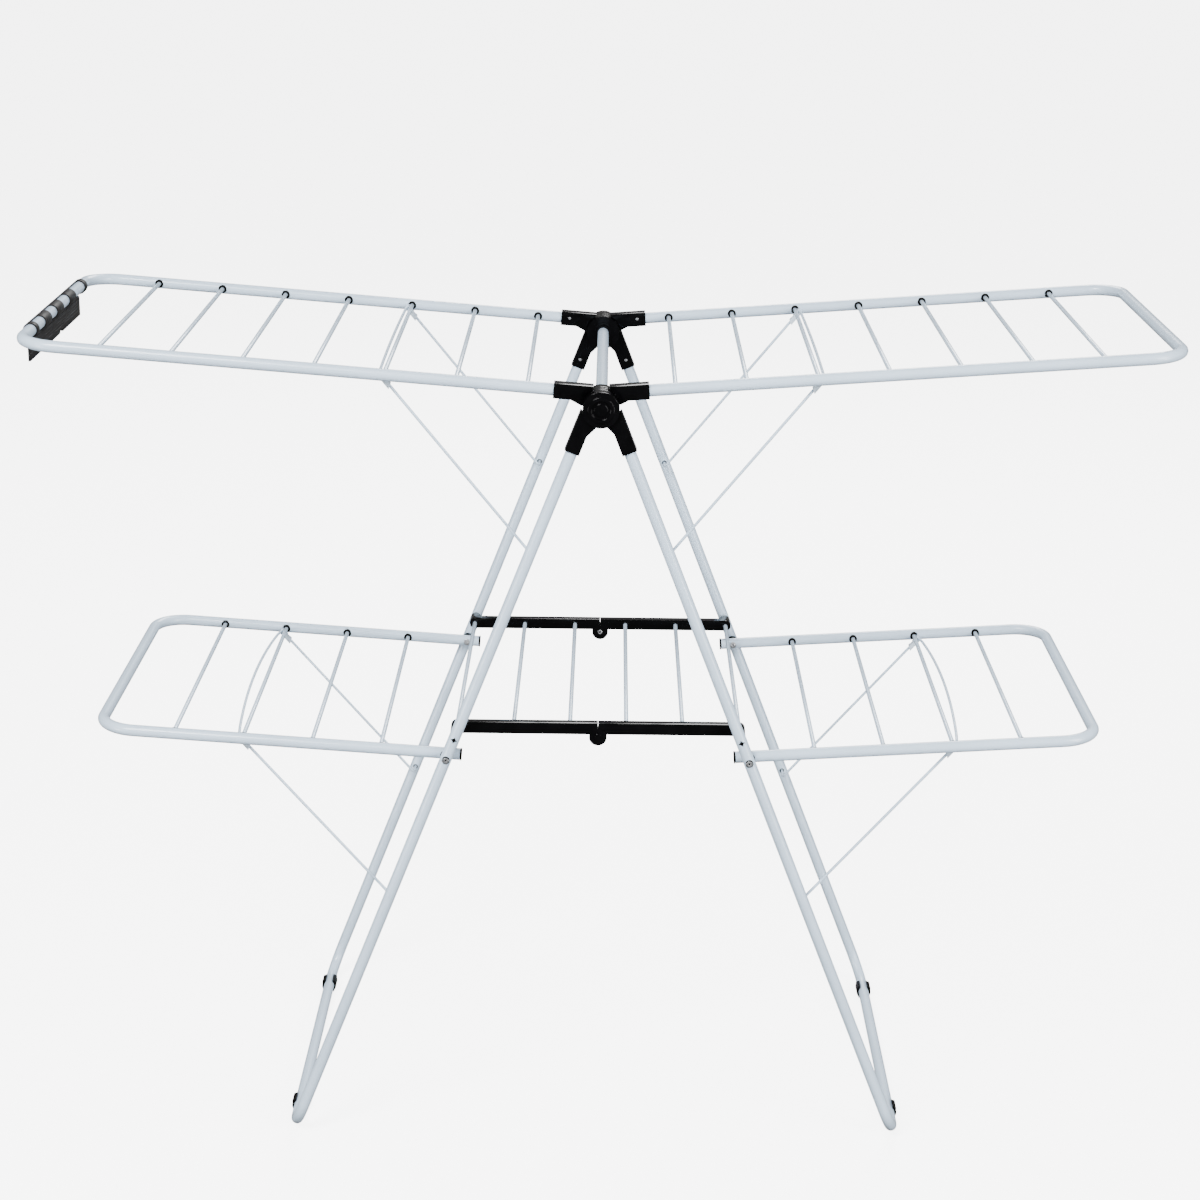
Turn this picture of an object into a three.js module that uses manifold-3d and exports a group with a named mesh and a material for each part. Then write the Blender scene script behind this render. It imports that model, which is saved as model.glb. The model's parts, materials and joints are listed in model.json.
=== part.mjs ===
// A folding clothes rack: two leg frames crossed at a top hub, two upper wings and two lower wings of
// rods held out by wire struts, and a folding middle shelf. Millimetres, +Z up, +Y to the back. The
// origin lies on the floor under the middle of the hub axis.
import * as THREE from "three";
import { mergeVertices } from "three/addons/utils/BufferGeometryUtils.js";
import Module from "manifold-3d";

const wasm = await Module();
wasm.setup();

// Driving dimensions.
const GAP = 0.3; // left between pieces that touch
const FIT = 0.4; // added to a radius where something turns or slides inside
const PAST = 2; // how far a cutting shape runs past what it cuts
const TUBE_R = 8;
const TUBE_WALL = 0.7;
const ROD_R = 3;
const WIRE_R = 2;
const HUB_Z = 1063;
const LEG_Y = 260; // middle of the front and rear leg tubes
const RAIL_Y = 241; // middle of the wing rails
const SHELF_Y = 227.5; // middle of the shelf rails
const LEG_ANGLE = rad(21.3); // from vertical
const LEG_OFFSET = 13.9; // leg centreline outside the hub axis
const FOOT_Z = 10; // middle of the bottom bars
const FOOT_BEND = 45;
const HUB_R = 24;
const HUB_FLANGE = { thick: 5.5, spigotR: 6.4, spigot: 9 };
const HUB_CAP = { thick: 5, ringR: 16, recessR: 12, ring: 1.8, recess: 1.4, pinR: 5 };
const LEG_SOCKET_END = 68;
const WING_SOCKET_END = 63.5;
const SOCKET_START = 24.6; // clear of the neighbour's disc
const SOCKET_WIDTH = 18.4;
const SOCKET_HEIGHT = 20;
const SOCKET_FLOOR = 31;
const UPPER = { rise: rad(4.3), offset: 15, first: 97.8, pitch: 93.27, rods: 7, end: 760, bend: 48 };
const LOWER = { rise: rad(3.7), first: 91, pitch: 93.6, rods: 4, end: 474, stub: 17.5, bend: 48 };
const LOWER_PIVOT = 527.4; // down the leg
const SHELF_Z = 611.2;
const SHELF_PITCH = 76.6;
const SHELF_HEIGHT = 16;
const SHELF_WIDTH = 12;
const SHELF_GAP = 0.5; // between the two halves, and between a boss and its leg
const KNUCKLE_DROP = 12; // knuckle pin below the shelf rail's middle
const KNUCKLE_R = 12;
const RIVET = { shankR: 3, headR: 5, proud: 1.6 };
const BOLT_R = 3;
const BOLT = { headR: 4.8, head: 2.6, nutR: 5.5, nut: 4, washerR: 8.5 };
const END_CAP = { rimR: 8.6, rim: 2.5, plugR: 6.8, plug: 9 };
const STRUT_Y = 227;
const STRUT_HOLE_UPPER = 224; // down the leg
const STRUT_HOLE_LOWER = 757;
const STRUT_SIDE = 5.5; // wire's middle from the rod's middle
const STRUT_BEYOND = 4; // ends of the cross wire past the rod
const STRUT_BOW = { upper: 2, lower: 13 }; // middle of the cross wire past its ends
const STRUT_BEND = 7;
const STRUT_END = 4; // into the leg tube
const CLIP = { length: 20, start: 4.2, out: 4, back: 5, half: 4 };
const HOLDER = {
  y0: -155,
  y1: 170,
  bandR: 10.2,
  mouth: { from: -9, to: 1, top: -3 },
  window: -3, // windows run from here to the hub side
  windows: [
    [-143, -101],
    [-66, -27],
    [10, 54],
    [92, 157],
  ],
  plate: { x0: 1.5, x1: 4.5, y0: -182, y1: 137, top: -8.7, bottom: -36 },
  notch: { y: 10, half: 5, mouth: 9, depth: 4 },
};
const FOOT_CLIP = { front: -180, rear: 204, half: 11, outerR: 10, flat: 7, mouth: 4 };
const SIDES = { left: -1, right: 1 };
const ENDS = { front: -1, rear: 1 };

const WHITE = new THREE.MeshStandardMaterial({ color: 0xdfe3e8, roughness: 0.38, metalness: 0.1 });
const BLACK = new THREE.MeshStandardMaterial({ color: 0x121315, roughness: 0.3, metalness: 0 });
const STEEL = new THREE.MeshStandardMaterial({ color: 0xb4b7ba, roughness: 0.35, metalness: 1 });

function rad(degrees) {
  return (degrees * Math.PI) / 180;
}

function v3(x, y, z) {
  return new THREE.Vector3(x, y, z);
}

// A closed geometry as a manifold-3d solid.
function solid(geometry) {
  const bare = geometry.index ? geometry.toNonIndexed() : geometry.clone();
  bare.deleteAttribute("normal");
  bare.deleteAttribute("uv");
  const merged = mergeVertices(bare, 1e-4);
  return new wasm.Manifold(
    new wasm.Mesh({
      numProp: 3,
      vertProperties: merged.attributes.position.array,
      triVerts: new Uint32Array(merged.index.array),
    }),
  );
}

// A manifold-3d solid, or a geometry, as a named mesh in the given group.
function put(group, name, shape, material) {
  let geometry = shape;
  if (!shape.isBufferGeometry) {
    const made = shape.getMesh();
    geometry = new THREE.BufferGeometry();
    geometry.setAttribute("position", new THREE.BufferAttribute(made.vertProperties, 3));
    geometry.setIndex(new THREE.BufferAttribute(made.triVerts, 1));
    geometry.computeVertexNormals();
  }
  const mesh = new THREE.Mesh(geometry, material);
  mesh.name = name;
  group.add(mesh);
}

function ring(radius, sides) {
  return Array.from({ length: sides }, (_, i) => {
    const a = ((i + 0.5) * 2 * Math.PI) / sides;
    return new THREE.Vector2(radius * Math.cos(a), radius * Math.sin(a));
  });
}

// A path through chosen stations, each with its own tangent.
class StationPath extends THREE.Curve {
  constructor(stations) {
    super();
    this.stations = stations;
  }
  at(u) {
    return this.stations[Math.round(u * (this.stations.length - 1))];
  }
  getPoint(u) {
    return this.at(u).point.clone();
  }
  getPointAt(u) {
    return this.getPoint(u);
  }
  getTangentAt(u) {
    return this.at(u).tangent.clone();
  }
  getSpacedPoints() {
    return this.stations.map((s) => s.point.clone());
  }
}

// Stations along a polyline whose inner corners are rounded to the radius.
function rounded(corners, radius, arcSteps) {
  const stations = [];
  const last = corners.length - 1;
  for (let i = 0; i <= last; i++) {
    const before = i > 0 ? corners[i].clone().sub(corners[i - 1]).normalize() : null;
    const after = i < last ? corners[i + 1].clone().sub(corners[i]).normalize() : null;
    if (!before || !after) {
      stations.push({ point: corners[i].clone(), tangent: (before ?? after).clone() });
      continue;
    }
    const turn = before.angleTo(after);
    const cut = radius * Math.tan(turn / 2);
    const start = corners[i].clone().addScaledVector(before, -cut);
    const side = after.clone().addScaledVector(before, -before.dot(after)).normalize();
    for (let k = 0; k <= arcSteps; k++) {
      const a = (turn * k) / arcSteps;
      stations.push({
        point: start
          .clone()
          .addScaledVector(before, radius * Math.sin(a))
          .addScaledVector(side, radius * (1 - Math.cos(a))),
        tangent: before.clone().multiplyScalar(Math.cos(a)).addScaledVector(side, Math.sin(a)),
      });
    }
  }
  return stations;
}

// A tube or a solid bar swept along the stations.
function sweep(stations, radius, sides, boreRadius = 0) {
  const shape = new THREE.Shape(ring(radius, sides));
  if (boreRadius) shape.holes.push(new THREE.Path(ring(boreRadius, sides).reverse()));
  return new THREE.ExtrudeGeometry(shape, {
    steps: stations.length - 1,
    bevelEnabled: false,
    extrudePath: new StationPath(stations),
  });
}

function tube(corners, bend) {
  return solid(sweep(rounded(corners, bend, 4), TUBE_R, 12, TUBE_R - TUBE_WALL));
}

function bar(from, to, radius, sides = 10) {
  return solid(sweep(rounded([from, to], 0, 1), radius, sides));
}

// A round bar along Y between two depths.
function barY(x, z, y0, y1, radius, sides = 12) {
  return bar(v3(x, Math.min(y0, y1), z), v3(x, Math.max(y0, y1), z), radius, sides);
}

// A box from one corner to the opposite one.
function block(low, high) {
  const size = high.clone().sub(low);
  const box = new THREE.BoxGeometry(size.x, size.y, size.z);
  box.translate(...low.clone().add(high).multiplyScalar(0.5).toArray());
  return box;
}

// Moves a shape drawn with its length along +X and its height along +Z so that its length runs
// along the direction (dx, dz) from the point (x, z).
function lay(geometry, x, z, dx, dz) {
  const up = v3(-dz, 0, dx);
  geometry.applyMatrix4(new THREE.Matrix4().makeBasis(v3(dx, 0, dz), v3(0, 1, 0), up));
  geometry.translate(x, 0, z);
  return geometry;
}

// The point at a distance down a leg's centreline.
function onLeg(side, y, t) {
  return v3(
    side * (LEG_OFFSET * Math.cos(LEG_ANGLE) + t * Math.sin(LEG_ANGLE)),
    y,
    HUB_Z + LEG_OFFSET * Math.sin(LEG_ANGLE) - t * Math.cos(LEG_ANGLE),
  );
}

const FOOT_T = (HUB_Z + LEG_OFFSET * Math.sin(LEG_ANGLE) - FOOT_Z) / Math.cos(LEG_ANGLE);

// The point at a distance out along a wing, on its rails' centreline.
function onUpper(side, y, u) {
  const { rise, offset } = UPPER;
  return v3(
    side * (u * Math.cos(rise) - offset * Math.sin(rise)),
    y,
    HUB_Z + u * Math.sin(rise) + offset * Math.cos(rise),
  );
}

function onLower(side, y, v) {
  const pivot = onLeg(side, y, LOWER_PIVOT);
  return v3(pivot.x + side * v * Math.cos(LOWER.rise), y, pivot.z + v * Math.sin(LOWER.rise));
}

// One U-shaped frame: a rail, an end bar and the other rail.
function uFrame(place, start, end, y, bend) {
  return tube([place(-y, start), place(-y, end), place(y, end), place(y, start)], bend);
}

// A hub arm: a disc on the hub axis, half as deep as the socket, and a socket with a bore for a tube.
// The arm runs along (dx, dz) from the hub axis, and its middle lies `offset` to its +up side.
function hubArm({ y, lap, dx, dz, offset, reach }) {
  const half = SOCKET_WIDTH / 2;
  const bottom = offset - SOCKET_HEIGHT / 2;
  const top = offset + SOCKET_HEIGHT / 2;
  const lapLow = lap < 0 ? y - half : y + GAP / 2;
  const lapHigh = lap < 0 ? y - GAP / 2 : y + half;
  const disc = barY(0, HUB_Z, lapLow, lapHigh, HUB_R, 18);
  const web = solid(
    lay(block(v3(0, lapLow, bottom), v3(SOCKET_START + 1, lapHigh, top)), 0, HUB_Z, dx, dz),
  );
  const socket = solid(
    lay(block(v3(SOCKET_START, y - half, bottom), v3(reach, y + half, top)), 0, HUB_Z, dx, dz),
  );
  const middle = v3(-dz * offset, y, HUB_Z + dx * offset);
  const boreFrom = middle.clone().add(v3(dx, 0, dz).multiplyScalar(SOCKET_FLOOR));
  const boreTo = middle.clone().add(v3(dx, 0, dz).multiplyScalar(reach + PAST));
  return disc
    .add(web)
    .add(socket)
    .subtract(bar(boreFrom, boreTo, TUBE_R + 0.5, 12))
    .subtract(barY(0, HUB_Z, lapLow - PAST, lapHigh + PAST, HUB_CAP.pinR + 0.6, 16));
}

// The hub: a top bar between two flanges, and a cap with a pin through the arms at each end.
function hub(group) {
  const flangeOuter = RAIL_Y - SOCKET_WIDTH / 2 - GAP;
  const flangeInner = flangeOuter - HUB_FLANGE.thick;
  const spigotEnd = flangeInner - HUB_FLANGE.spigot;
  const barEnd = flangeInner - GAP;
  const capInner = LEG_Y + SOCKET_WIDTH / 2 + GAP;
  const capFace = capInner + HUB_CAP.thick;
  const ringFace = capFace + HUB_CAP.ring;
  const atHub = (y0, y1, radius, sides) => barY(0, HUB_Z, y0, y1, radius, sides);
  put(group, "top_bar", tube([v3(0, -barEnd, HUB_Z), v3(0, barEnd, HUB_Z)], 0), WHITE);
  for (const [end, sign] of Object.entries(ENDS)) {
    const between = (y0, y1, radius, sides) => atHub(sign * y0, sign * y1, radius, sides);
    const flange = between(flangeInner, flangeOuter, HUB_R, 18)
      .add(between(spigotEnd, flangeInner + 1, HUB_FLANGE.spigotR, 12))
      .subtract(between(spigotEnd - PAST, flangeOuter + PAST, HUB_CAP.pinR + FIT, 16));
    put(group, `${end}_hub_flange`, flange, BLACK);
    const cap = between(capInner, capFace, HUB_R, 18)
      .add(between(capFace - 1, ringFace, HUB_CAP.ringR, 20))
      .subtract(between(ringFace - HUB_CAP.recess, ringFace + PAST, HUB_CAP.recessR, 20))
      .add(between(spigotEnd - 1, capInner + 1, HUB_CAP.pinR, 16));
    put(group, `${end}_hub_cap`, cap, BLACK);
  }
}

// One leg frame: two leg tubes and the bottom bar between them, drilled for the struts and pivots.
function legFrame(side) {
  const place = (y, t) => onLeg(side, y, t);
  let frame = uFrame(place, SOCKET_FLOOR + 1, FOOT_T, LEG_Y, FOOT_BEND);
  for (const sign of Object.values(ENDS)) {
    const inner = sign * (LEG_Y - TUBE_R - PAST);
    const drill = (t, radius, to) => {
      const p = place(0, t);
      frame = frame.subtract(barY(p.x, p.z, inner, sign * to, radius, 12));
    };
    drill(STRUT_HOLE_UPPER, WIRE_R + 0.6, LEG_Y);
    drill(STRUT_HOLE_LOWER, WIRE_R + 0.6, LEG_Y);
    drill(LOWER_PIVOT, BOLT_R + FIT, LEG_Y + TUBE_R + PAST);
  }
  return frame;
}

// A C-shaped clip round a bottom bar, with a flat underside that stands on the floor.
function footClip(side, end) {
  const { half, outerR, flat, mouth } = FOOT_CLIP;
  const { x, z } = onLeg(side, 0, FOOT_T);
  const y0 = FOOT_CLIP[end] - half;
  const y1 = FOOT_CLIP[end] + half;
  const past0 = y0 - PAST;
  const past1 = y1 + PAST;
  const pad = solid(block(v3(x - flat, y0, 0), v3(x + flat, y1, FOOT_Z)));
  const belowFloor = solid(block(v3(x - outerR, past0, -outerR), v3(x + outerR, past1, 0)));
  const gap = solid(block(v3(x - mouth, past0, FOOT_Z), v3(x + mouth, past1, FOOT_Z + 2 * outerR)));
  return barY(x, z, y0, y1, outerR, 18)
    .add(pad)
    .subtract(barY(x, z, past0, past1, TUBE_R + FIT, 18))
    .subtract(gap)
    .subtract(belowFloor);
}

// The bolt that a lower wing turns on, with the spacer washer between the leg and the rail.
function pivotBolt(side, sign) {
  const { x, z } = onLeg(side, 0, LOWER_PIVOT);
  const head = LEG_Y + TUBE_R + GAP;
  const nut = RAIL_Y - TUBE_R - GAP;
  const washerIn = RAIL_Y + TUBE_R + GAP;
  const washerOut = LEG_Y - TUBE_R - GAP;
  const between = (y0, y1, radius, sides) => barY(x, z, sign * y0, sign * y1, radius, sides);
  return between(nut - BOLT.nut, head + 1, BOLT_R, 10)
    .add(between(head, head + BOLT.head, BOLT.headR, 14))
    .add(between(nut - BOLT.nut, nut, BOLT.nutR, 6))
    .add(between(washerIn, washerOut, BOLT.washerR, 16));
}

// An upper wing's rods, from one rail's inner side to the other.
function upperRods(group, side, sideName) {
  const end = RAIL_Y - TUBE_R - GAP;
  for (let i = 0; i < UPPER.rods; i++) {
    const p = onUpper(side, 0, UPPER.first + i * UPPER.pitch);
    put(group, `${sideName}_upper_rod_${i + 1}`, barY(p.x, p.z, -end, end, ROD_R, 8), WHITE);
  }
}

// A lower wing's frame with its rods welded in.
function lowerFrame(side) {
  const place = (y, v) => onLower(side, y, v);
  let frame = uFrame(place, -LOWER.stub, LOWER.end, RAIL_Y, LOWER.bend);
  const weld = RAIL_Y - TUBE_R + TUBE_WALL / 2;
  for (let i = 0; i < LOWER.rods; i++) {
    const p = place(0, LOWER.first + i * LOWER.pitch);
    frame = frame.add(barY(p.x, p.z, -weld, weld, ROD_R, 8));
  }
  const pivot = place(0, 0);
  for (const sign of Object.values(ENDS)) {
    const inner = sign * (RAIL_Y - TUBE_R - PAST);
    const outer = sign * (RAIL_Y + TUBE_R + PAST);
    frame = frame.subtract(barY(pivot.x, pivot.z, inner, outer, BOLT_R + FIT, 12));
  }
  return frame;
}

// The cap on a lower rail's inner end: a plug with a rim.
function endCap(side, sign) {
  const at = (v) => onLower(side, sign * RAIL_Y, v);
  const rim = -LOWER.stub - GAP;
  return bar(at(rim - END_CAP.rim), at(rim), END_CAP.rimR, 14).add(
    bar(at(rim - 1), at(rim + END_CAP.plug), END_CAP.plugR, 12),
  );
}

// A strut: one wire whose ends turn out into the legs, and whose middle bows out past the rod, with a
// hook clip on each arm that the rod rests against.
function strut(side, hole, rod, bow) {
  const reach = Math.hypot(rod.x - hole.x, rod.z - hole.z);
  const lean = Math.asin(STRUT_SIDE / reach);
  const angle = Math.atan2(rod.z - hole.z, side * (rod.x - hole.x)) - lean;
  const dx = side * Math.cos(angle);
  const dz = Math.sin(angle);
  const rodAlong = Math.sqrt(reach * reach - STRUT_SIDE * STRUT_SIDE);
  const along = (y, s) => v3(hole.x + dx * s, y, hole.z + dz * s);
  const tip = rodAlong + STRUT_BEYOND;
  const end = LEG_Y - TUBE_R + STRUT_END;
  const corners = [
    v3(hole.x, -end, hole.z),
    along(-STRUT_Y, 0),
    ...[-1, -0.6, -0.2, 0.2, 0.6, 1].map((k) => along(k * STRUT_Y, tip + bow * (1 - k * k))),
    along(STRUT_Y, 0),
    v3(hole.x, end, hole.z),
  ];
  let wire = solid(sweep(rounded(corners, STRUT_BEND, 2), WIRE_R, 8));
  const back = side > 0 ? CLIP.back : CLIP.out;
  const out = side > 0 ? CLIP.out : CLIP.back;
  for (const sign of Object.values(ENDS)) {
    const from = rodAlong - CLIP.start - CLIP.length;
    const low = v3(from, sign * STRUT_Y - CLIP.half, -out);
    const high = v3(from + CLIP.length, sign * STRUT_Y + CLIP.half, back);
    wire = wire.add(solid(lay(block(low, high), hole.x, hole.z, dx, dz)));
  }
  return wire;
}

// One half of a shelf rail, with its half of the knuckle and the boss that stands off the leg.
function shelfRail(side, sign) {
  const endX = side * 2.5 * SHELF_PITCH;
  const half = SHELF_HEIGHT / 2;
  const split = sign * SHELF_Y;
  const y0 = split - SHELF_WIDTH / 2;
  const y1 = split + SHELF_WIDTH / 2;
  const [x0, x1] = [side * SHELF_GAP, endX].sort((a, b) => a - b);
  const mine = side < 0 ? sign : -sign; // the left half's ear is the outer one
  const ear = mine > 0 ? [split + GAP / 2, y1] : [y0, split - GAP / 2];
  const other = mine > 0 ? [y0 - PAST, split + GAP / 2] : [split - GAP / 2, y1 + PAST];
  const bossOut = sign * (LEG_Y - TUBE_R - SHELF_GAP);
  const [bossLow, bossHigh] = [split, bossOut].sort((a, b) => a - b);
  const atEnd = (low, high, radius) => barY(endX, SHELF_Z, low, high, radius, 12);
  const atPin = (low, high, radius, sides) =>
    barY(0, SHELF_Z - KNUCKLE_DROP, low, high, radius, sides);
  const rail = solid(block(v3(x0, y0, SHELF_Z - half), v3(x1, y1, SHELF_Z + half)))
    .add(atEnd(y0, y1, half))
    .add(atEnd(bossLow, bossHigh, half))
    .subtract(atPin(...other, KNUCKLE_R + FIT, 16))
    .add(atPin(...ear, KNUCKLE_R, 16))
    .subtract(atEnd(Math.min(y0, bossLow) - PAST, Math.max(y1, bossHigh) + PAST, ROD_R + FIT));
  if (side > 0) return rail.subtract(atPin(y0 - PAST, y1 + PAST, RIVET.shankR + FIT, 12));
  return rail
    .add(atPin(y0 - RIVET.proud, y1 + RIVET.proud, RIVET.shankR, 10))
    .add(atPin(y0 - RIVET.proud, y0 - GAP, RIVET.headR, 12))
    .add(atPin(y1 + GAP, y1 + RIVET.proud, RIVET.headR, 12));
}

function shelfRods(group, side, sideName) {
  for (let i = 0; i < 3; i++) {
    const x = side * (i + 0.5) * SHELF_PITCH;
    const outermost = i === 2;
    const end = outermost ? LEG_Y - TUBE_R - SHELF_GAP : SHELF_Y - SHELF_WIDTH / 2 - GAP;
    put(group, `${sideName}_shelf_rod_${i + 1}`, barY(x, SHELF_Z, -end, end, ROD_R, 8), WHITE);
  }
}

// The clip-on holder: a long sleeve over the left upper wing's end bar, with windows between its
// bands, an open mouth below on the far side, and a plate that hangs under the bar.
function holder() {
  const { y0, y1, bandR, mouth, window, windows, plate, notch } = HOLDER;
  const { x, z } = onUpper(-1, 0, UPPER.end);
  const open = solid(
    block(
      v3(x + mouth.from, y0 - PAST, z - 2 * bandR),
      v3(x + mouth.to, y1 + PAST, z + mouth.top),
    ),
  );
  let sleeve = barY(x, z, y0, y1, bandR, 18)
    .subtract(barY(x, z, y0 - PAST, y1 + PAST, TUBE_R + FIT, 18))
    .subtract(open);
  for (const [from, to] of windows) {
    sleeve = sleeve.subtract(
      solid(block(v3(x + window, from, z - 2 * bandR), v3(x + 2 * bandR, to, z + 2 * bandR))),
    );
  }
  const outline = new THREE.Shape([
    new THREE.Vector2(plate.y0, plate.top),
    new THREE.Vector2(plate.y0, plate.bottom),
    new THREE.Vector2(notch.y - notch.mouth, plate.bottom),
    new THREE.Vector2(notch.y - notch.half, plate.bottom + notch.depth),
    new THREE.Vector2(notch.y + notch.half, plate.bottom + notch.depth),
    new THREE.Vector2(notch.y + notch.mouth, plate.bottom),
    new THREE.Vector2(plate.y1, plate.bottom),
    new THREE.Vector2(plate.y1, plate.top),
  ]);
  const thick = plate.x1 - plate.x0;
  const hanging = new THREE.ExtrudeGeometry(outline, { depth: thick, bevelEnabled: false });
  hanging.applyMatrix4(new THREE.Matrix4().makeBasis(v3(0, 1, 0), v3(0, 0, 1), v3(1, 0, 0)));
  hanging.translate(x + plate.x0, 0, z);
  return sleeve.add(solid(hanging));
}

const rack = new THREE.Group();
hub(rack);
for (const [sideName, side] of Object.entries(SIDES)) {
  const legSide = new THREE.Group();
  rack.add(legSide);
  put(legSide, `${sideName}_leg_frame`, legFrame(side), WHITE);
  const upper = (y, u) => onUpper(side, y, u);
  put(
    legSide,
    `${sideName}_upper_wing_frame`,
    uFrame(upper, SOCKET_FLOOR + 1, UPPER.end, RAIL_Y, UPPER.bend),
    WHITE,
  );
  upperRods(legSide, side, sideName);
  put(legSide, `${sideName}_lower_wing_frame`, lowerFrame(side), WHITE);
  const upperRod = onUpper(side, 0, UPPER.first + 2 * UPPER.pitch);
  const lowerRod = onLower(side, 0, LOWER.first + 2 * LOWER.pitch);
  const upperHole = onLeg(side, 0, STRUT_HOLE_UPPER);
  const lowerHole = onLeg(side, 0, STRUT_HOLE_LOWER);
  put(legSide, `${sideName}_upper_strut`, strut(side, upperHole, upperRod, STRUT_BOW.upper), WHITE);
  put(legSide, `${sideName}_lower_strut`, strut(side, lowerHole, lowerRod, STRUT_BOW.lower), WHITE);
  shelfRods(legSide, side, sideName);
  for (const [end, sign] of Object.entries(ENDS)) {
    const legArm = hubArm({
      y: sign * LEG_Y,
      lap: side,
      dx: side * Math.sin(LEG_ANGLE),
      dz: -Math.cos(LEG_ANGLE),
      offset: side * LEG_OFFSET,
      reach: LEG_SOCKET_END,
    });
    put(legSide, `${sideName}_${end}_leg_arm`, legArm, BLACK);
    const wingArm = hubArm({
      y: sign * RAIL_Y,
      lap: side,
      dx: side * Math.cos(UPPER.rise),
      dz: Math.sin(UPPER.rise),
      offset: side * UPPER.offset,
      reach: WING_SOCKET_END,
    });
    put(legSide, `${sideName}_${end}_wing_arm`, wingArm, BLACK);
    put(legSide, `${sideName}_${end}_foot_clip`, footClip(side, end), BLACK);
    put(legSide, `${sideName}_${end}_pivot_bolt`, pivotBolt(side, sign), STEEL);
    put(legSide, `${sideName}_${end}_end_cap`, endCap(side, sign), BLACK);
    put(legSide, `${sideName}_${end}_shelf_rail`, shelfRail(side, sign), BLACK);
  }
}
put(rack, "clip_on_holder", holder(), BLACK);

export default rack;
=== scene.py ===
"""A two-tier folding clothes rack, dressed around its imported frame: bent tubes, rods, struts,
a moulded hub, a folding shelf, a clip-on holder and their fittings. Metres, +Z up."""

import json
from math import asin, atan2, cos, hypot, pi, radians, sin, sqrt
from types import SimpleNamespace as Sizes

import bpy
from bpy.props import FloatProperty, FloatVectorProperty, IntProperty, PointerProperty
from mathutils import Matrix, Vector


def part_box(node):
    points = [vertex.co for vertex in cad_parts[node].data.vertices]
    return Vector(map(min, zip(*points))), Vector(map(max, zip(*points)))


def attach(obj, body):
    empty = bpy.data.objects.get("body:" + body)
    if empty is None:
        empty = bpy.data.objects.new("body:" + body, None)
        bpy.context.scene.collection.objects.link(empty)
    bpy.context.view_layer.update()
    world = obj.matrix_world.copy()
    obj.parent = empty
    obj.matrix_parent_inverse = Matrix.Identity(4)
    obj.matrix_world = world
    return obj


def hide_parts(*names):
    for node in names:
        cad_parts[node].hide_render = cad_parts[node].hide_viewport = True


bl_info = {
    "name": "Clothes Rack",
    "version": (1, 0, 0),
    "blender": (4, 5, 0),
    "location": "View3D > Sidebar > Rack",
    "description": "Models the tubes, rods, struts and fittings of a folding clothes rack",
    "category": "Add Mesh",
}

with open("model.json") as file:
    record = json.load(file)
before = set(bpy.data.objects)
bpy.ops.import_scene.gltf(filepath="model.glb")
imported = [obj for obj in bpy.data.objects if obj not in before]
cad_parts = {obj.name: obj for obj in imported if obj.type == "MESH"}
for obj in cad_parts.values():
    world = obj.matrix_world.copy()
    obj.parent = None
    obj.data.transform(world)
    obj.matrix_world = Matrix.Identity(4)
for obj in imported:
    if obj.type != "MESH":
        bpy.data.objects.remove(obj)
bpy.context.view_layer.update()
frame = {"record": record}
pivots = {j["name"]: Vector(j["pos_m"]) for j in frame["record"]["behaviour"]["joints"]}

SIDES = {"left": -1, "right": 1}
ENDS = {"front": -1, "rear": 1}
HUB = pivots["left_upper_wing_fold"]
BEND_STEPS = 14
BOW_STEPS = 16
NEAR = 1e-5
PAST = 0.01  # a cutter past what it cuts
FIT = 0.0002  # play between nested pieces

UPPER_RODS, LOWER_RODS, SHELF_RODS = 7, 4, 3
STRUT_ROD = 3  # the rod that a strut holds, counted from the hub or pivot

# Sizes of the mouldings and fittings, in metres. Steps are pairs of an inset and a push outwards.
GROMMET = Sizes(radius=0.0060, proud=0.0012, sunk=0.0030, play=0.0001)
FLANGE = Sizes(thick=0.0055, floor=0.0008, collars=((0.0150, 0.0016), (0.0112, 0.0042)))
HUB_CAP = Sizes(
    depth=0.0068,
    ring=0.0018,
    steps=((0.0070, 0.0018), (0.0045, -0.0026), (0.0040, 0.0009)),
    pin=0.005,
    pin_length=0.04,
)
ARM = Sizes(
    leg_reach=0.068,
    wing_reach=0.0635,
    half=0.010,
    gusset=0.0065,
    step=0.0005,
    web=(0.0130, 0.0135, 0.0262, 0.0405, 0.0480),
    root=0.001,
    socket=0.012,
    bore=0.00825,
)
SCREW = Sizes(radius=0.0021, from_end=0.0125, above=0.001, sunk=0.0006)
# Black rings at the wire holes in the legs, standing in for the holes' shadow: painted shade.
WIRE_HOLE_SHADE = Sizes(radius=0.0036, proud=0.0006, sunk=0.0030, play=0.0003)
HOOK = Sizes(
    back=0.020,
    front=0.0048,
    half=0.004,
    under=0.0038,
    over=0.0042,
    taper=0.015,
    slope=(0.004, 0, -0.0012),
    play=0.0005,
    waist=(-0.0125, -0.0075),
    waist_floor=0.0025,
    waist_top=0.006,
)
RAIL = Sizes(
    split=0.00015,
    rest=0.001,
    boss_gap=0.0005,
    boss_less=0.0004,
    knuckle_play=0.0004,
    collar=0.0048,
    collar_proud=0.0007,
    collar_sunk=0.002,
)
RIVET = Sizes(
    shank=0.0029,
    short=0.002,
    head=0.0036,
    bore=0.0013,
    depth=0.003,
    cap=0.0052,
    dome=0.0003,
    gap=0.0001,
)
FOOT_CLIP = Sizes(
    radius=0.0112,
    flat=0.0078,
    lip=0.0024,
    lip_side=0.0085,
    lip_rise=0.0058,
    mouth=0.0052,
    grooves=(0.006, 0.0072),
    groove=0.0012,
)
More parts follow.
